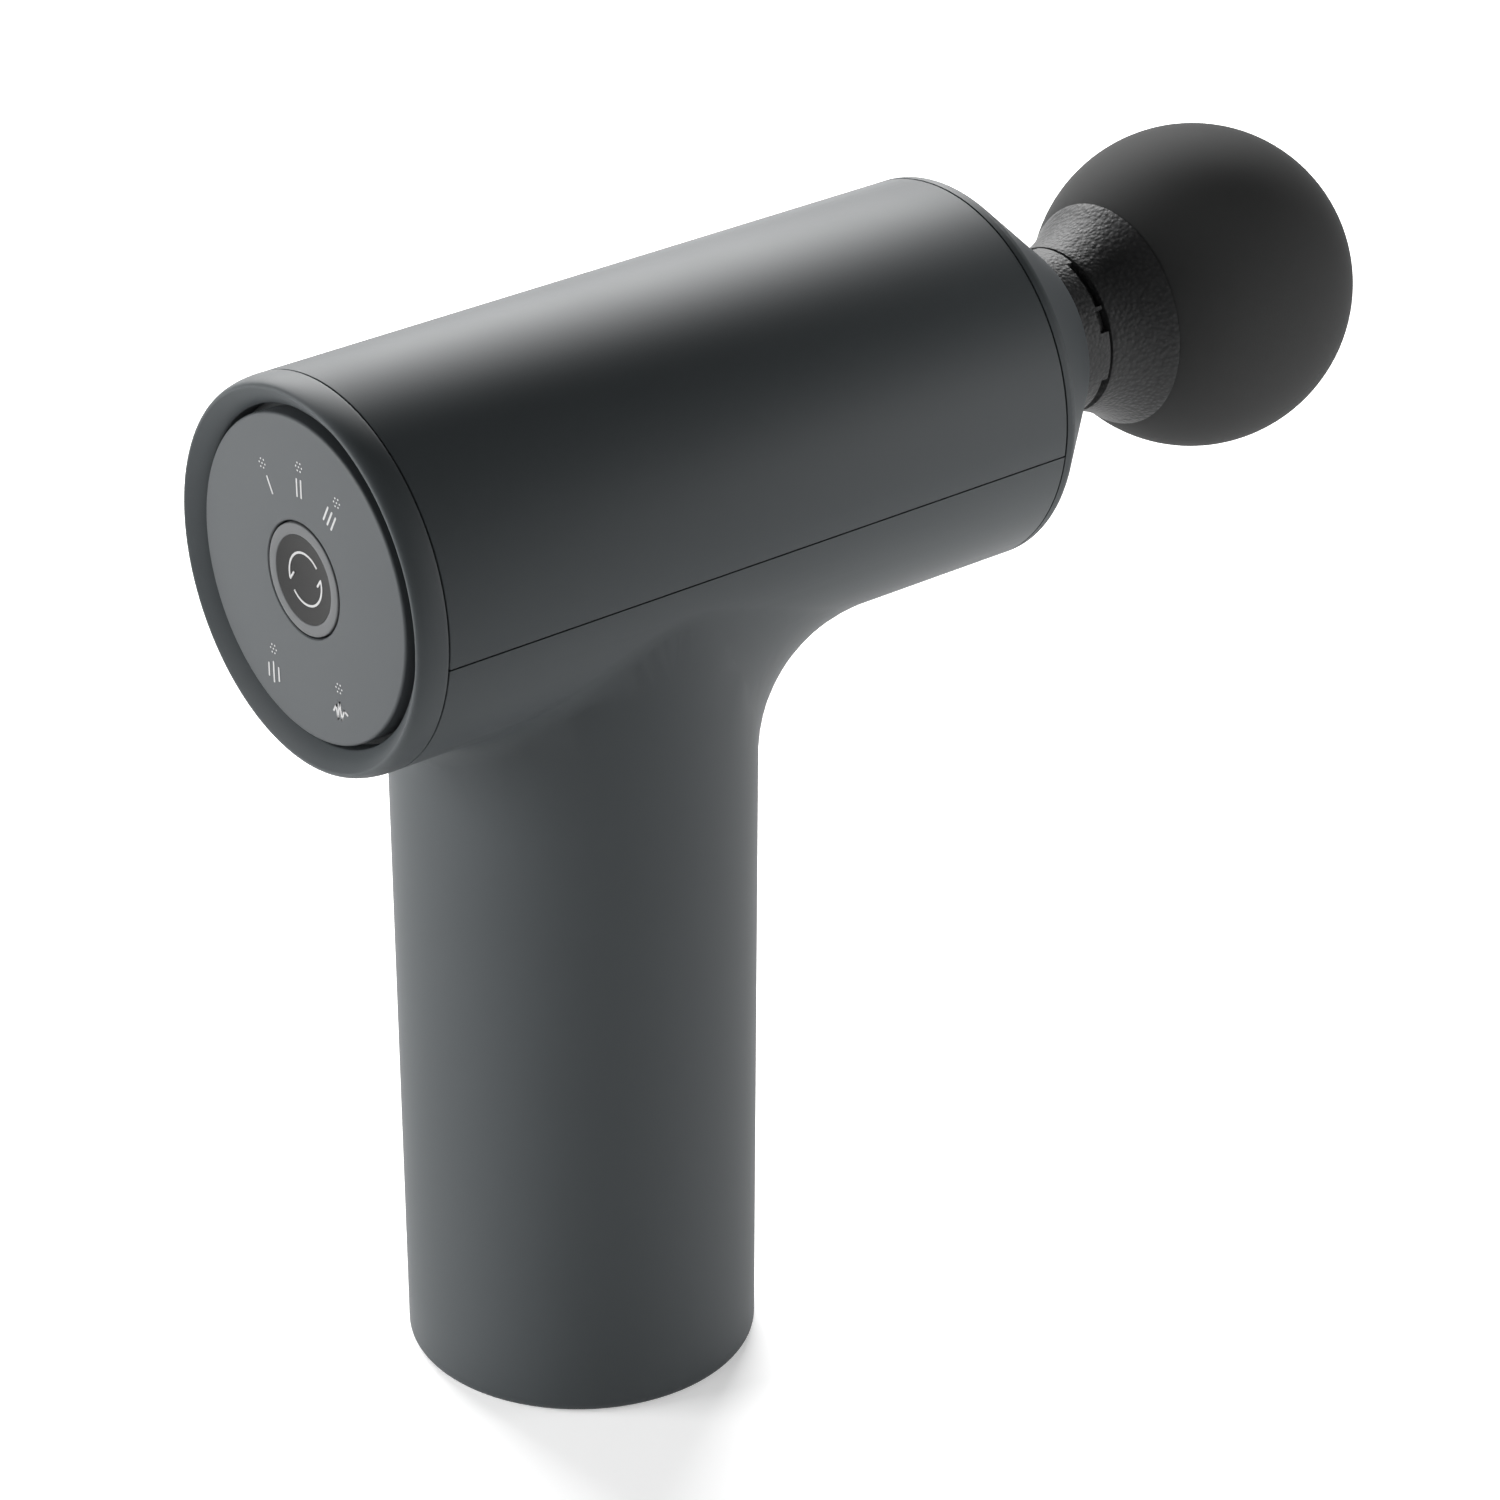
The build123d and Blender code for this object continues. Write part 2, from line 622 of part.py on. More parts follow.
# ---- write one STEP per node -----------------------------------------------------------------
nodes = {
    "handle_housing": handle_housing, "upper_cover": upper_cover, "nose_ring": nose_ring,
    "rear_bezel": rear_bezel, "control_panel": control_panel, "panel_windows": panel_windows,
    "button_ring": button_ring, "button_cap": button_cap, "control_board": control_board,
    "light_emitters": light_emitters, "button_switch": button_switch, "control_chips": control_chips,
    "board_screws": board_screws, "rotor_can": rotor_can, "rotor_magnets": rotor_magnets,
    "stator_core": stator_core, "stator_windings": stator_windings, "motor_shaft": motor_shaft,
    "motor_bearings": motor_bearings, "motor_bracket": motor_bracket, "bracket_screws": bracket_screws,
    "crank_disc": crank_disc, "crank_pin": crank_pin, "connecting_rod": connecting_rod,
    "rod_bearings": rod_bearings, "wrist_pin": wrist_pin, "drive_piston": drive_piston,
    "drive_sleeve": drive_sleeve, "guide_bush": guide_bush, "guide_plate": guide_plate,
    "nose_screws": nose_screws, "front_seal": front_seal, "seal_retainer": seal_retainer,
    "head_base": head_base, "stem_rings": stem_rings, "massage_ball": massage_ball,
    "base_cap": base_cap, "charging_socket": charging_socket, "base_screws": base_screws,
    "main_board": main_board, "board_parts": board_parts, "battery_cells": battery_cells,
    "battery_tabs": battery_tabs, "battery_holder": battery_holder, "battery_pad": battery_pad,
    "battery_leads": battery_leads, "motor_leads": motor_leads, "control_lead": control_lead,
}

os.makedirs("parts", exist_ok=True)
for name, make in nodes.items():
    made = make()
    solids = [s for piece in made for s in piece.solids()] if isinstance(made, list) else made.solids()
    whole = solids[0] if len(solids) == 1 else Compound(children=list(solids))
    export_step(whole, f"parts/{name}.step")
    print(f"{name}: {len(solids)} solid(s), {whole.volume:.1f} mm3")
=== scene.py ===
import bpy
import json
import math
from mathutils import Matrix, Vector

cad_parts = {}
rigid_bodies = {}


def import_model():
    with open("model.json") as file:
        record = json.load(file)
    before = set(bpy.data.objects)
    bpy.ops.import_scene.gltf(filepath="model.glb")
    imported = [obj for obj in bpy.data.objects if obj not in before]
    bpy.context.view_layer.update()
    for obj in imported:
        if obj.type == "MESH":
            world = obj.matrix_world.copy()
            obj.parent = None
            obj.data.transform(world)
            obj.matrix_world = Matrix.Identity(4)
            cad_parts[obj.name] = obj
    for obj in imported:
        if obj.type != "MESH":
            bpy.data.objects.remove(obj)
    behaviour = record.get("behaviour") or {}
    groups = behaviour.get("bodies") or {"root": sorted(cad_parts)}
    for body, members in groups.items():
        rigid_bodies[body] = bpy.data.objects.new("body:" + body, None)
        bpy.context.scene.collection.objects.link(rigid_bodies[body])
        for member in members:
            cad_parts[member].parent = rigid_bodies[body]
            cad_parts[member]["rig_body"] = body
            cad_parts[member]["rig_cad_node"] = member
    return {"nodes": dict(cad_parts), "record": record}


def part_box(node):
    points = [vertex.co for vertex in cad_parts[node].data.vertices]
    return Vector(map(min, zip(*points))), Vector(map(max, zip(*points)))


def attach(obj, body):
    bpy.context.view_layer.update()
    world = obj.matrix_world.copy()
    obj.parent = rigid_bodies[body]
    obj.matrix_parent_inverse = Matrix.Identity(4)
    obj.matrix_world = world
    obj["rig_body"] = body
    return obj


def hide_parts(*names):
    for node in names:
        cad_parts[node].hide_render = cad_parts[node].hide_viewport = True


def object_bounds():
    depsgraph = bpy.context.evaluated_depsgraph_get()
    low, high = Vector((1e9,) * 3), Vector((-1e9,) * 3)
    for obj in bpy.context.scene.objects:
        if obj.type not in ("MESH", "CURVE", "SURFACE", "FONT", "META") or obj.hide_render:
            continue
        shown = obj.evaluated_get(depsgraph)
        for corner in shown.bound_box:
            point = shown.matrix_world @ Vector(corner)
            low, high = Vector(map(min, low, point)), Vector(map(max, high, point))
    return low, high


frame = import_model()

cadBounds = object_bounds()
mm = 0.001
bpy.ops.object.select_all(action="DESELECT")


def halfWidth(node):                  # half of a node's extent across the barrel
    low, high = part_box(node)
    return (high.y - low.y) / 2


axisZ = ((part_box("control_panel")[0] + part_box("control_panel")[1]) / 2).z   # height of the barrel's axis
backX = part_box("rear_bezel")[0].x     # rearmost point of the bezel
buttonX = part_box("button_ring")[0].x  # the button's outer face
barrelRadius = halfWidth("upper_cover")
print("frame loaded,", len(frame["nodes"]), "CAD nodes")


# camera and light: a long lens, a broad lamp behind and three small fills
camera = {"azimuth": -38.744, "elevation": 27.578, "distance": 0.70517, "lens": 140.19, "sensor": 36,
          "near": 0.01, "far": 20, "aimShift": Vector((-0.0128, 0, 0.0024))}

azimuth, elevation = math.radians(camera["azimuth"]), math.radians(camera["elevation"])
toward = Vector((-math.sin(azimuth) * math.cos(elevation), math.cos(azimuth) * math.cos(elevation),
                 -math.sin(elevation)))
aim = (cadBounds[0] + cadBounds[1]) / 2 + camera["aimShift"]
bpy.ops.object.camera_add(location=aim - toward * camera["distance"],
                          rotation=toward.to_track_quat("-Z", "Y").to_euler())
viewer = bpy.context.object
viewer.data.lens = camera["lens"]
viewer.data.sensor_width = camera["sensor"]
viewer.data.clip_start, viewer.data.clip_end = camera["near"], camera["far"]
bpy.context.scene.camera = viewer

studio = {                             # lamps: place from the aim, size in metres, power in watts
    "roomGrey": 0.065, "exposure": 0.0,
    "backTop": {"at": (0.45, 0.95, 0.62), "size": (1.3, 0.30), "power": 38.0},
    "leftWall": {"at": (-0.90, 0.48, 0.14), "size": (0.5, 0.8), "power": 15.0},
    "rightWall": {"at": (0.70, -0.62, 0.02), "size": (0.4, 0.6), "power": 6.0},
    "front": {"at": (-0.85, -0.10, 0.45), "size": (0.5, 0.5), "power": 1.6},
}

room = bpy.data.worlds.new("studioRoom")
room.use_nodes = True
room.node_tree.nodes["Background"].inputs["Color"].default_value = (1, 1, 1, 1)
room.node_tree.nodes["Background"].inputs["Strength"].default_value = studio["roomGrey"]
bpy.context.scene.world = room
bpy.context.scene.view_settings.view_transform = "Standard"
bpy.context.scene.view_settings.exposure = studio["exposure"]

for lampName in ("backTop", "leftWall", "rightWall", "front"):
    lamp = studio[lampName]
    spot = aim + Vector(lamp["at"])
    bpy.ops.object.light_add(type="AREA", location=spot,
                             rotation=(aim - spot).to_track_quat("-Z", "Y").to_euler())
    bpy.context.object.name = lampName
    bpy.context.object.data.shape = "RECTANGLE"
    bpy.context.object.data.size, bpy.context.object.data.size_y = lamp["size"]
    bpy.context.object.data.energy = lamp["power"]
print("camera and lights placed")


# finishes: one function or one line each, all in the piece's own coordinates
class Wire:                            # a node's output, which takes part in sums
    def __init__(self, finish, socket):
        self.finish, self.socket = finish, socket

    def sum(self, operation, *values):
        return self.finish.node("ShaderNodeMath", {"operation": operation}, dict(enumerate(values)))

    def __add__(self, other):
        return self.sum("ADD", self, other)

    def __sub__(self, other):
        return self.sum("SUBTRACT", self, other)

    def __rsub__(self, other):
        return self.sum("SUBTRACT", other, self)

    def __mul__(self, other):
        return self.sum("MULTIPLY", self, other)

    __radd__, __rmul__ = __add__, __mul__


class Finish:                          # one material and the nodes that make it
    def __init__(self, name):
        self.material = bpy.data.materials.new(name)
        self.material.use_nodes = True
        self.nodes, self.links = self.material.node_tree.nodes, self.material.node_tree.links
        self.nodes.clear()

    def node(self, kind, settings=None, inputs=None, output=0):
        made = self.nodes.new(kind)
        for setting, value in (settings or {}).items():
            setattr(made, setting, value)
        for socket, value in (inputs or {}).items():
            if isinstance(value, Wire):
                self.links.new(value.socket, made.inputs[socket])
            else:
                made.inputs[socket].default_value = value
        return Wire(self, made.outputs[output])

    def place(self):                   # the piece's own coordinates in metres
        return self.node("ShaderNodeTexCoord", output="Object")

    def speckle(self, sizeMm, detail, rough=0.5):
        return self.node("ShaderNodeTexNoise", inputs={
            "Vector": self.place(), "Scale": 1 / (sizeMm * mm), "Detail": detail, "Roughness": rough})

    def tint(self, amount, dark, light):
        colours = {0: amount, 6: (*dark, 1), 7: (*light, 1)}      # sockets: factor, first and second colour
        return self.node("ShaderNodeMix", {"data_type": "RGBA"}, colours, 2)

    def relief(self, height, depthMm, strength):
        return self.node("ShaderNodeBump", inputs={
            "Height": height, "Distance": depthMm * mm, "Strength": strength})

    def surface(self, **sockets):
        words = {"colour": "Base Color", "roughness": "Roughness", "metallic": "Metallic", "normal": "Normal",
                 "coat": "Coat Weight", "level": "Specular IOR Level", "glow": "Emission Color",
                 "glowStrength": "Emission Strength"}
        shader = self.node("ShaderNodeBsdfPrincipled",
                           inputs={words[word]: value for word, value in sockets.items()})
        end = self.nodes.new("ShaderNodeOutputMaterial")
        self.links.new(shader.socket, end.inputs["Surface"])
        return self.material


def softTouch():                       # matt lacquer over the barrel, handle, nose and bezel
    look = {"dark": (0.0360, 0.0415, 0.0445), "light": (0.0415, 0.0475, 0.0510), "grainMm": 0.16,
            "grainDepth": 0.010, "relief": 0.6, "cloudMm": 14, "cloudShare": 0.6, "grainShare": 0.4,
            "roughness": 0.54, "cloudRough": 0.04, "grainRough": 0.03, "level": 0.24}
    finish = Finish("softTouchLacquer")
    grain = finish.speckle(look["grainMm"], 2)
    cloud = finish.speckle(look["cloudMm"], 3)
    tone = cloud * look["cloudShare"] + grain * look["grainShare"]
    return finish.surface(
        colour=finish.tint(tone, look["dark"], look["light"]),
        roughness=look["roughness"] + cloud * look["cloudRough"] + grain * look["grainRough"],
        normal=finish.relief(grain, look["grainDepth"], look["relief"]), level=look["level"])


def printedPanel():                    # satin film on the control panel
    look = {"dark": (0.039, 0.0435, 0.047), "light": (0.0435, 0.0485, 0.052), "grainMm": 0.12,
            "grainDepth": 0.006, "relief": 0.5, "cloudMm": 9, "share": 0.5, "roughness": 0.50,
            "grainRough": 0.08, "level": 0.3}
    finish = Finish("panelFilm")
    grain = finish.speckle(look["grainMm"], 2)
    cloud = finish.speckle(look["cloudMm"], 2)
    tone = cloud * look["share"] + grain * look["share"]
    return finish.surface(
        colour=finish.tint(tone, look["dark"], look["light"]),
        roughness=look["roughness"] + grain * look["grainRough"],
        normal=finish.relief(grain, look["grainDepth"], look["relief"]), level=look["level"])


plain = {"cloudGrains": 40, "share": 0.5, "grainRough": 0.08, "relief": 0.6}   # a cloud is forty grains wide


def plainFinish(name, dark, light, sizeMm, roughness, metallic=0.0, depthMm=0.01, **more):
    finish = Finish(name)
    grain = finish.speckle(sizeMm, 3)
    cloud = finish.speckle(sizeMm * plain["cloudGrains"], 2)
    tone = grain * plain["share"] + cloud * plain["share"]
    return finish.surface(
        colour=finish.tint(tone, dark, light), metallic=metallic,
        roughness=roughness + grain * plain["grainRough"],
        normal=finish.relief(grain, depthMm, plain["relief"]), **more)


def sparkTexture():                    # pebbled black moulding of the collar and the head's foot
    look = {"dark": (0.020, 0.0205, 0.021), "light": (0.034, 0.0345, 0.035), "pebbleMm": 0.50, "round": 0.7,
            "depth": 0.11, "relief": 0.9, "grainMm": 0.15, "grit": 0.3, "roughness": 0.50,
            "grainRough": 0.12, "level": 0.19}
    finish = Finish("pebbledMoulding")
    pebbles = finish.node("ShaderNodeTexVoronoi", {"feature": "SMOOTH_F1"}, {
        "Vector": finish.place(), "Scale": 1 / (look["pebbleMm"] * mm),
        "Smoothness": look["round"]})
    grain = finish.speckle(look["grainMm"], 2)
    return finish.surface(
        colour=finish.tint(pebbles, look["light"], look["dark"]),
        roughness=look["roughness"] + grain * look["grainRough"],
        normal=finish.relief(grain * look["grit"] - pebbles, look["depth"], look["relief"]),
        level=look["level"])


def ballSkin():                        # closed-cell elastomer skin
    look = {"dark": (0.039, 0.0395, 0.0395), "light": (0.044, 0.0445, 0.0445), "poreMm": 0.22,
            "poreDepth": 0.012, "relief": 0.7, "cloudMm": 10, "share": 0.5, "roughness": 0.70,
            "poreRough": 0.1, "level": 0.04}
    finish = Finish("ballSkin")
    pores = finish.speckle(look["poreMm"], 3, 0.6)
    cloud = finish.speckle(look["cloudMm"], 3)
    tone = cloud * look["share"] + pores * look["share"]
    return finish.surface(
        colour=finish.tint(tone, look["dark"], look["light"]),
        roughness=look["roughness"] + pores * look["poreRough"],
        normal=finish.relief(pores, look["poreDepth"], look["relief"]), level=look["level"])


def grey(value):
    return (value, value, value)


finishes = {
    "soft_body": softTouch(), "panel": printedPanel(),
    "black_textured": sparkTexture(), "ball_rubber": ballSkin(),
    "light_window": plainFinish("frostedPipe", grey(0.34), grey(0.42), 0.2, 0.35),
    "button_ring": plainFinish("ringSatin", (0.068, 0.071, 0.074), (0.076, 0.079, 0.082), 0.15, 0.45,
                               depthMm=0.004, level=0.3),
    "button_cap": plainFinish("capSatin", grey(0.013), grey(0.017), 0.15, 0.55, depthMm=0.005, level=0.15),
    "circuit_board": plainFinish("solderMask", (0.012, 0.09, 0.035), (0.02, 0.13, 0.05), 1.2, 0.3, coat=0.5),
    "black_plastic": plainFinish("blackMoulding", grey(0.012), grey(0.022), 0.3, 0.45),
    "inner_plastic": plainFinish("innerMoulding", grey(0.06), grey(0.08), 0.3, 0.55),
    "steel": plainFinish("machinedSteel", grey(0.42), grey(0.55), 0.25, 0.28, 1.0, 0.004),
    "bearing_steel": plainFinish("groundSteel", grey(0.62), grey(0.70), 0.3, 0.14, 1.0, 0.002),
    "magnet": plainFinish("nickelPlate", (0.45, 0.45, 0.46), (0.55, 0.55, 0.55), 0.3, 0.2, 1.0, 0.003),
    "copper": plainFinish("enamelledCopper", (0.60, 0.24, 0.10), (0.78, 0.36, 0.17), 0.35, 0.28, 1.0, 0.02),
    "brass": plainFinish("sinteredBronze", (0.55, 0.40, 0.15), (0.68, 0.50, 0.20), 0.3, 0.4, 1.0, 0.01),
    "aluminium": plainFinish("dieCast", grey(0.60), grey(0.72), 0.3, 0.42, 1.0, 0.02),
    "black_rubber": plainFinish("mouldedRubber", grey(0.012), grey(0.02), 0.3, 0.65, depthMm=0.02),
    "cell_wrap": plainFinish("shrinkSleeve", (0.03, 0.15, 0.28), (0.05, 0.20, 0.36), 0.5, 0.25),
    "foam": plainFinish("closedCellFoam", grey(0.03), grey(0.06), 0.5, 0.85, depthMm=0.15),
    "lead_red": plainFinish("redInsulation", (0.38, 0.015, 0.015), (0.5, 0.03, 0.03), 0.4, 0.4),
    "lead_black": plainFinish("blackInsulation", grey(0.012), grey(0.022), 0.4, 0.4),
    "ink": plainFinish("printedInk", grey(0.32), grey(0.38), 0.2, 0.55, depthMm=0.003),
}
slotOf = {part["node"]: part["material_slot"] for part in frame["record"]["subparts"]}
for nodeName, node in frame["nodes"].items():
    node.data.materials.clear()
    node.data.materials.append(finishes[slotOf[nodeName]])
print("finishes made:", len(finishes))


# helpers that the pieces share
meshing = {"merge": 0.002 * mm, "stripMerge": 0.001 * mm, "turnedSmooth": 28, "plainSmooth": 30}


def clearSelection():
    if bpy.context.object and bpy.context.object.mode == "EDIT":
        bpy.ops.object.mode_set(mode="OBJECT")
    bpy.ops.object.select_all(action="DESELECT")


def makeActive(piece):
    clearSelection()
    piece.select_set(True)
    bpy.context.view_layer.objects.active = piece


def settle():                          # puts the new primitive's place, turn and scale into its mesh
    bpy.ops.object.transform_apply(location=True, rotation=True, scale=True)
    return bpy.context.object


def smoothed(piece, angle):
    bpy.ops.object.shade_smooth_by_angle(angle=math.radians(angle))
    return piece


def chooseParts(piece, kind, test):    # edit mode with only the edges or vertices that pass the test selected
    bpy.ops.object.mode_set(mode="EDIT")
    bpy.ops.mesh.select_mode(type=kind)
    bpy.ops.mesh.select_all(action="DESELECT")
    bpy.ops.object.mode_set(mode="OBJECT")
    if kind == "EDGE":
        for edge in piece.data.edges:
            edge.select = test(*[piece.data.vertices[i].co for i in edge.vertices])
    else:
        for vertex in piece.data.vertices:
            vertex.select = test(vertex.co)
    bpy.ops.object.mode_set(mode="EDIT")


def turnedPiece(name, outline, sides, closed=True):   # outline: (x, radius) stations round the barrel's axis
    clearSelection()
    x, radius = outline[0]
    bpy.ops.mesh.primitive_circle_add(vertices=sides, radius=radius, location=(x, 0, axisZ),
                                      rotation=(0, math.radians(90), 0))
    piece = settle()
    piece.name = name
    bpy.ops.object.mode_set(mode="EDIT")
    bpy.ops.mesh.select_all(action="SELECT")
    if not closed:                     # a filled first circle, so the piece is solid to its middle
        bpy.ops.mesh.edge_face_add()
        bpy.ops.mesh.select_mode(type="EDGE")
    for nextX, nextRadius in outline[1:] + ([outline[0]] if closed else []):
        step = {"value": (nextX - x, 0, 0)}
        if closed:
            bpy.ops.mesh.extrude_edges_move(TRANSFORM_OT_translate=step)
        else:
            bpy.ops.mesh.extrude_region_move(TRANSFORM_OT_translate=step)
        bpy.ops.transform.resize(value=(1, nextRadius / radius, nextRadius / radius),
                                 center_override=(nextX, 0, axisZ))
        x, radius = nextX, nextRadius
    bpy.ops.mesh.select_all(action="SELECT")
    bpy.ops.mesh.remove_doubles(threshold=meshing["merge"])
    bpy.ops.mesh.normals_make_consistent(inside=False)
    bpy.ops.object.mode_set(mode="OBJECT")
    return smoothed(piece, meshing["turnedSmooth"])


def roundedCorner(centre, radius, fromAngle, toAngle, steps=5):   # outline stations round a corner
    angles = [math.radians(fromAngle + (toAngle - fromAngle) * i / steps) for i in range(steps + 1)]
    return [(centre[0] + radius * math.cos(a), centre[1] + radius * math.sin(a)) for a in angles]


def easedCurve(points, steps):         # stations along a four-point curve
    stations = []
    for i in range(steps + 1):
        t = i / steps
        weights = ((1 - t) ** 3, 3 * t * (1 - t) ** 2, 3 * t * t * (1 - t), t ** 3)
        stations.append(tuple(sum(w * p[axis] for w, p in zip(weights, points)) for axis in (0, 1)))
    return stations


def finishPiece(piece, slotName, body, *nodes, finish=None):   # nodes: the CAD nodes that it stands for
    piece.data.materials.clear()
    piece.data.materials.append(finishes[finish or slotName])
    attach(piece, body)
    if nodes:
        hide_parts(*nodes)


def joined(name, parts):
    clearSelection()
    for part in parts:
        part.select_set(True)
    bpy.context.view_layer.objects.active = parts[0]
    bpy.ops.object.join()
    parts[0].name = name
    return smoothed(parts[0], meshing["plainSmooth"])


def inkStroke(start, end, width, faceX, depth):   # printed line with round ends between two (y, z) places
    clearSelection()
    run = Vector((end[0] - start[0], end[1] - start[1]))
    bpy.ops.mesh.primitive_cube_add(
        size=1, location=(faceX, (start[0] + end[0]) / 2, axisZ + (start[1] + end[1]) / 2),
        rotation=(math.atan2(run.y, run.x), 0, 0), scale=(depth * 2, run.length + width, width))
    stroke = settle()
    chooseParts(stroke, "EDGE", lambda a, b: abs(a.x - b.x) > depth)
    bpy.ops.mesh.bevel(offset=width * 0.48, segments=4)   # just under half, so the ends stay two arcs
    bpy.ops.object.mode_set(mode="OBJECT")
    return stroke


# moulded shells: the barrel's cover, the handle with its web
shell = {"merge": 0.0005 * mm, "edge": 0.09 * mm, "edgeSteps": 2, "sharp": 55}


def softShell(name, node, easedBy=shell["edge"], sharp=shell["sharp"]):   # CAD shape with eased edges
    piece = frame["nodes"][node].copy()
    piece.data = frame["nodes"][node].data.copy()
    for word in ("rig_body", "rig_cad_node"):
        del piece[word]
    bpy.context.collection.objects.link(piece)
    piece.parent = None
    piece.name = name
    makeActive(piece)
    bpy.ops.object.mode_set(mode="EDIT")
    bpy.ops.mesh.select_all(action="SELECT")
    bpy.ops.mesh.remove_doubles(threshold=shell["merge"])
    bpy.ops.object.mode_set(mode="OBJECT")
    easing = piece.modifiers.new("easedEdges", "BEVEL")
    easing.width, easing.segments, easing.limit_method = easedBy, shell["edgeSteps"], "ANGLE"
    easing.angle_limit = math.radians(sharp)
    bpy.ops.object.modifier_apply(modifier=easing.name)
    return smoothed(piece, meshing["plainSmooth"])


finishPiece(softShell("barrelCover", "upper_cover"), "soft_body", "housing", "upper_cover")
finishPiece(softShell("handleShell", "handle_housing"), "soft_body", "housing", "handle_housing")
print("shells done")


# the panel's plate lies almost level with the button and is a little wider than the CAD plate
panelLook = {"sunk": 0.05 * mm, "growth": 0.1 * mm, "edge": 0.36 * mm, "hole": 6.92 * mm,
             "holeEdge": 0.12 * mm, "thickness": 2.7 * mm, "sides": 160}
panelX = buttonX + panelLook["sunk"]
panelRadius = halfWidth("control_panel") + panelLook["growth"]

# rear bezel: one turned ring with a rounded crest and a groove round the panel
bezel = {"sides": 192, "seam": 3.75 * mm, "edge": 0.10 * mm, "run": 3.3 * mm, "shoulder": 1.4 * mm,
         "crestRadius": 22.45 * mm, "crestRound": 0.55 * mm, "lip": 0.28 * mm,
         "footRadius": 20.3 * mm, "footDepth": 0.85 * mm, "footRound": (0.25 * mm, 0.15 * mm),
         "floor": 4.1 * mm, "floorTaper": 0.2 * mm, "ledgeRadius": 16.5 * mm, "ledge": 1.8 * mm,
         "boreRadius": 18.7 * mm, "spigotRadius": 21.2 * mm, "spigotEnd": 8.3 * mm}
seamX, crestRadius = backX + bezel["seam"], bezel["crestRadius"]
footX, footRadius = panelX + bezel["footDepth"], bezel["footRadius"]
floorX, spigotX = backX + bezel["floor"], backX + bezel["spigotEnd"]
ledgeX = floorX + bezel["ledge"]
bezelOutline = [(seamX, bezel["spigotRadius"])]
bezelOutline += roundedCorner((seamX - bezel["edge"], barrelRadius - bezel["edge"]), bezel["edge"], 0, 90, 3)
bezelOutline += easedCurve([(backX + bezel["run"], barrelRadius), (backX + bezel["shoulder"], barrelRadius),
                            (backX, crestRadius + bezel["crestRound"]), (backX, crestRadius)], 14)
bezelOutline += roundedCorner((backX + bezel["lip"], crestRadius), bezel["lip"], 180, 218, 4)
bezelOutline += [(footX, footRadius), (footX + bezel["footRound"][0], footRadius - bezel["footRound"][1]),
                 (floorX, footRadius - bezel["floorTaper"]), (floorX, bezel["ledgeRadius"]),
                 (ledgeX, bezel["ledgeRadius"]), (ledgeX, bezel["boreRadius"]),
                 (spigotX, bezel["boreRadius"]), (spigotX, bezel["spigotRadius"])]
finishPiece(turnedPiece("bezelRing", bezelOutline, bezel["sides"]), "soft_body", "housing", "rear_bezel")
print("bezel done")


# control panel: turned plate, printed marks and five rings of light dots; their places are (y, z) from the
# axis in mm
holeRadius, rim = panelLook["hole"], panelLook["edge"]
panelBack = panelX + panelLook["thickness"]
plateOutline = [(panelBack, holeRadius), (panelX + panelLook["holeEdge"], holeRadius),
                (panelX, holeRadius + panelLook["holeEdge"])]
plateOutline += roundedCorner((panelX + rim, panelRadius - rim), rim, 180, 90) + [(panelBack, panelRadius)]
finishPiece(turnedPiece("panelPlate", plateOutline, panelLook["sides"]), "panel", "housing", "control_panel")

marks = {
    "width": 0.27 * mm, "depth": 0.03 * mm,
    "speedLines": [((6.41, 10.40), (5.43, 8.70)), ((0.58, 12.16), (0.56, 10.14)),
                   ((-0.23, 12.22), (-0.24, 10.18)), ((-5.38, 10.88), (-4.46, 9.16)),
                   ((-6.09, 10.48), (-5.17, 8.78)), ((-6.78, 10.08), (-5.87, 8.40))],
    "programmeLines": [((7.59, -13.26), (7.58, -14.78)), ((6.66, -12.82), (6.62, -15.24)),
                       ((5.65, -13.20), (5.62, -14.80))],
    "pulse": [(-5.12, -14.20), (-5.62, -13.38), (-5.89, -15.00), (-6.27, -12.80), (-6.65, -14.86),
              (-7.12, -13.58), (-7.78, -13.82)],
}
pulseLines = list(zip(marks["pulse"], marks["pulse"][1:]))
strokes = [inkStroke((a[0] * mm, a[1] * mm), (b[0] * mm, b[1] * mm), marks["width"], panelX, marks["depth"])
           for a, b in marks["speedLines"] + marks["programmeLines"] + pulseLines]
finishPiece(joined("panelMarks", strokes), "light_window", "housing", finish="ink")

lights = {"places": ((7.30, 11.72), (0.08, 13.80), (-7.07, 12.05), (6.59, -11.11), (-6.23, -11.08)),
          "ring": 0.55 * mm, "inRing": 6, "dot": 0.12 * mm, "length": 0.3 * mm, "round": 0.03 * mm,
          "proud": 0.02 * mm}
clearSelection()
bpy.ops.mesh.primitive_cylinder_add(vertices=14, radius=lights["dot"], depth=lights["length"],
                                    location=(0, 0, 0), rotation=(0, math.radians(90), 0))
firstDot = settle()
chooseParts(firstDot, "EDGE", lambda a, b: a.x < 0 and b.x < 0)
bpy.ops.mesh.bevel(offset=lights["round"], segments=2)
bpy.ops.object.mode_set(mode="OBJECT")
dotX = panelX + lights["length"] / 2 - lights["proud"]
dots = []
for place in lights["places"]:
    for i in range(lights["inRing"] + 1):   # the last dot is the one in the middle
        turn = math.tau * i / lights["inRing"]
        reach = lights["ring"] if i < lights["inRing"] else 0
        dot = firstDot.copy()
        dot.data = firstDot.data.copy()
        bpy.context.collection.objects.link(dot)
        dot.location = (dotX, place[0] * mm + reach * math.cos(turn),
                        axisZ + place[1] * mm + reach * math.sin(turn))
        makeActive(dot)
        settle()
        dots.append(dot)
bpy.data.objects.remove(firstDot)
finishPiece(joined("lightDots", dots), "light_window", "housing", "panel_windows")
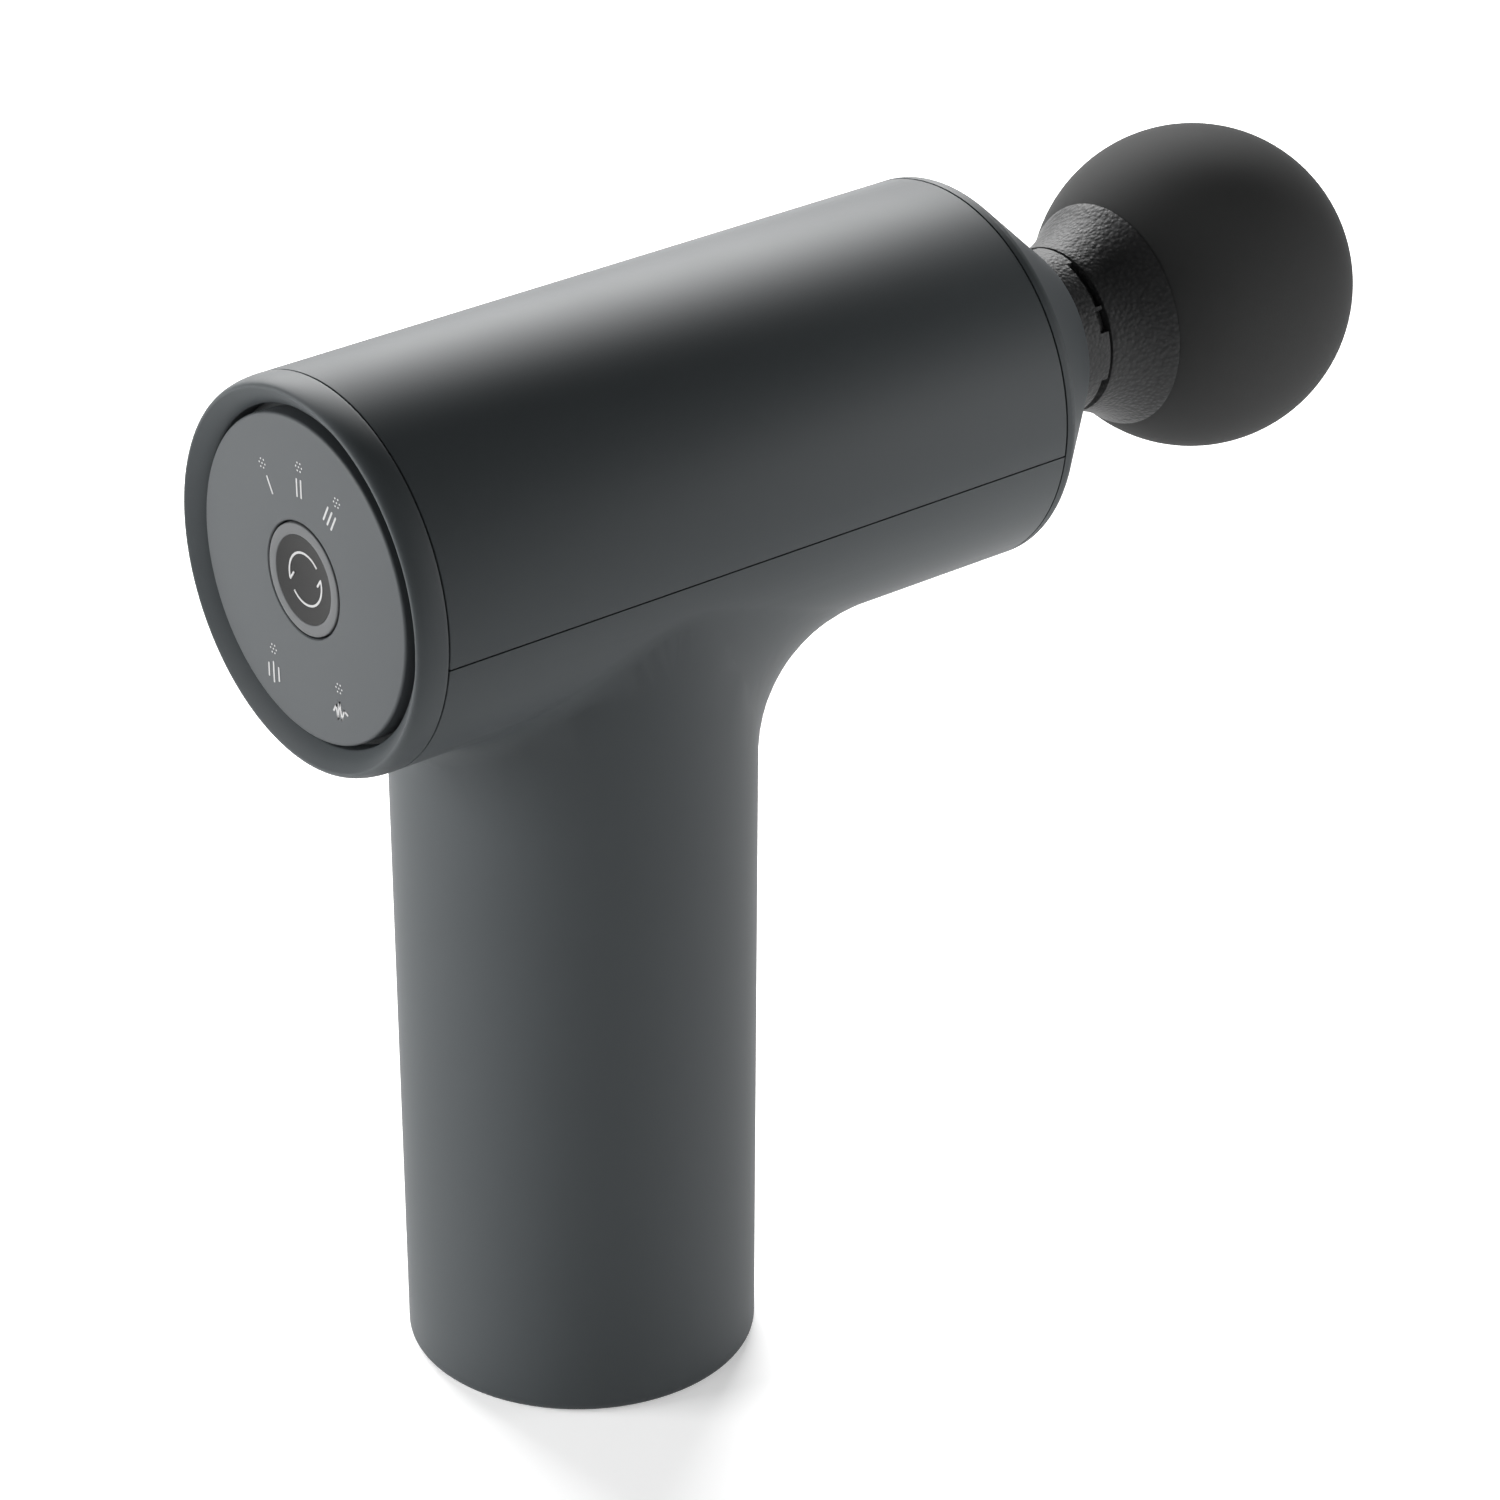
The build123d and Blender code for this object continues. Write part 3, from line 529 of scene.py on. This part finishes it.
print("control panel done")


# push button: ring, hollow face and two round arrows
button = {"radius": 6.68 * mm, "inner": 5.28 * mm, "edge": 0.2 * mm, "innerEdge": 0.15 * mm,
          "height": 2.8 * mm, "sides": 128, "dish": 0.45 * mm, "dishSunk": 0.06 * mm, "dishRings": 12,
          "dishFit": 0.01 * mm, "dishPole": 0.02 * mm}
ringBack, innerRadius = buttonX + button["height"], button["inner"]
edge, innerEdge = button["edge"], button["innerEdge"]
rimOutline = [(ringBack, innerRadius)]
rimOutline += roundedCorner((buttonX + innerEdge, innerRadius + innerEdge), innerEdge, 270, 180, 3)
rimOutline += roundedCorner((buttonX + edge, button["radius"] - edge), edge, 180, 90)
rimOutline += [(ringBack, button["radius"])]
finishPiece(turnedPiece("buttonRim", rimOutline, button["sides"]), "button_ring", "button", "button_ring")


def dishX(radius):                     # where the hollow face lies at a radius
    return buttonX + button["dishSunk"] + button["dish"] * (1 - (radius / innerRadius) ** 2)


dishRadii = [innerRadius * (1 - i / button["dishRings"]) for i in range(button["dishRings"])]
dishOutline = [(ringBack, innerRadius - button["dishFit"])]
dishOutline += [(dishX(r), r - button["dishFit"]) for r in dishRadii] + [(dishX(0), button["dishPole"])]
finishPiece(turnedPiece("buttonDish", dishOutline, button["sides"], closed=False), "button_cap", "button",
            "button_cap")

arrows = {"radius": 3.12 * mm, "line": 0.27 * mm, "starts": (137, -43), "sweep": 154, "thickness": 0.08 * mm,
          "barb": 1.15 * mm, "barbTurn": -11, "barbLift": 0.02 * mm, "barbDepth": 0.05 * mm, "steps": 40}
arrowX = dishX(arrows["radius"])
arrowParts = []


def onCircle(angle, radius, middle=(0, 0)):
    turn = math.radians(angle)
    return (middle[0] + radius * math.cos(turn), middle[1] + radius * math.sin(turn))


for start in arrows["starts"]:         # two half turns, each ending in a barb
    y, z = onCircle(start, arrows["radius"])
    clearSelection()
    bpy.ops.mesh.primitive_plane_add(size=1, location=(arrowX, y, axisZ + z),
                                     rotation=(math.radians(start), 0, 0))
    bpy.context.object.scale = (arrows["thickness"], arrows["line"], 1)
    arc = settle()
    bpy.ops.object.mode_set(mode="EDIT")
    bpy.ops.mesh.select_all(action="SELECT")
    bpy.ops.mesh.spin(steps=arrows["steps"], angle=math.radians(arrows["sweep"]), center=(arrowX, 0, axisZ),
                      axis=(1, 0, 0))
    bpy.ops.mesh.select_all(action="SELECT")
    bpy.ops.mesh.remove_doubles(threshold=meshing["stripMerge"])
    bpy.ops.mesh.normals_make_consistent(inside=False)
    bpy.ops.object.mode_set(mode="OBJECT")
    arrowParts.append(arc)
    tip = onCircle(start - arrows["sweep"], arrows["radius"])
    barbEnd = onCircle(start + arrows["barbTurn"], arrows["barb"], tip)
    barbX = arrowX + arrows["barbLift"]
    arrowParts.append(inkStroke(tip, barbEnd, arrows["line"], barbX, arrows["barbDepth"]))
finishPiece(joined("buttonArrows", arrowParts), "light_window", "button", finish="ink")
print("push button done")


# drive collar: a turned sleeve whose front edge has the same double notch in each quarter
collar = {"radius": 10.3 * mm, "back": 59.0 * mm, "edge": 0.14 * mm, "recess": 0.8 * mm,
          "wall": 0.06 * mm, "bore": 7.0 * mm, "mouth": 5.65 * mm, "lip": 0.65 * mm, "sides": 360,
          "firstNotch": (107, 144, 0.95 * mm), "secondNotch": (146.5, 162, 1.25 * mm),
          "quarter": 90, "slack": 0.3}   # notches: from and to which angle, and how deep from the front
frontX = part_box("drive_sleeve")[1].x
collarRadius, collarBack = collar["radius"], collar["back"]
edge, lipX = collar["edge"], frontX - collar["lip"]
collarOutline = [(collarBack, collar["bore"]), (collarBack, collarRadius)]
for depth in (collar["secondNotch"][2], collar["firstNotch"][2]):
    collarOutline += [(frontX - depth - collar["wall"], collarRadius), (frontX - depth, collarRadius)]
collarOutline += roundedCorner((frontX - edge, collarRadius - edge), edge, 90, 0, 3)
collarOutline += [(frontX, collar["mouth"]), (lipX, collar["mouth"]), (lipX, collar["bore"])]
driveCollar = turnedPiece("driveCollar", collarOutline, collar["sides"])
firstAngle, slack = collar["firstNotch"][0], collar["slack"]


def inNotch(place, notch):             # the turn is taken within the quarter that starts at the first notch
    y, z = place.y, place.z - axisZ
    turn = math.degrees(math.atan2(z, y)) - firstAngle + slack
    angle = turn % collar["quarter"] + firstAngle - slack
    outside = math.hypot(y, z) > collarRadius - edge * 1.5
    return outside and place.x > frontX - notch[2] - 0.001 * mm and notch[0] <= angle <= notch[1]


inward = 1 - collar["recess"] / collarRadius
for notch in (collar["firstNotch"], collar["secondNotch"]):
    makeActive(driveCollar)
    chooseParts(driveCollar, "VERT", lambda place: inNotch(place, notch))
    bpy.ops.transform.resize(value=(1, inward, inward), center_override=(frontX, 0, axisZ))
    bpy.ops.object.mode_set(mode="OBJECT")
finishPiece(smoothed(driveCollar, meshing["turnedSmooth"]), "black_textured", "drive", "drive_sleeve")

# head: the foot's and the ball's rims are eased where they meet
headLook = {"footEdge": 0.22 * mm, "ballEdge": 0.25 * mm, "ballSharp": 35}
finishPiece(softShell("headFoot", "head_base", headLook["footEdge"]), "black_textured", "head", "head_base")
finishPiece(softShell("headBall", "massage_ball", headLook["ballEdge"], headLook["ballSharp"]), "ball_rubber",
            "head", "massage_ball")
print("collar and head done")


# floor: matt paper, a hair below the handle's foot
floorLook = {"size": 4.0, "gap": 0.1 * mm, "fibreMm": 6, "dark": grey(0.84), "light": grey(0.87),
             "roughness": 0.9, "glow": 0.40}
bpy.ops.mesh.primitive_plane_add(size=floorLook["size"], location=(aim.x, aim.y, -floorLook["gap"]))
floor = bpy.context.object
floor.name = "studioFloor"
paper = Finish("studioPaper")
fibre = paper.speckle(floorLook["fibreMm"], 3)
floor.data.materials.append(paper.surface(
    colour=paper.tint(fibre, floorLook["dark"], floorLook["light"]), roughness=floorLook["roughness"],
    glow=(1, 1, 1, 1), glowStrength=floorLook["glow"]))
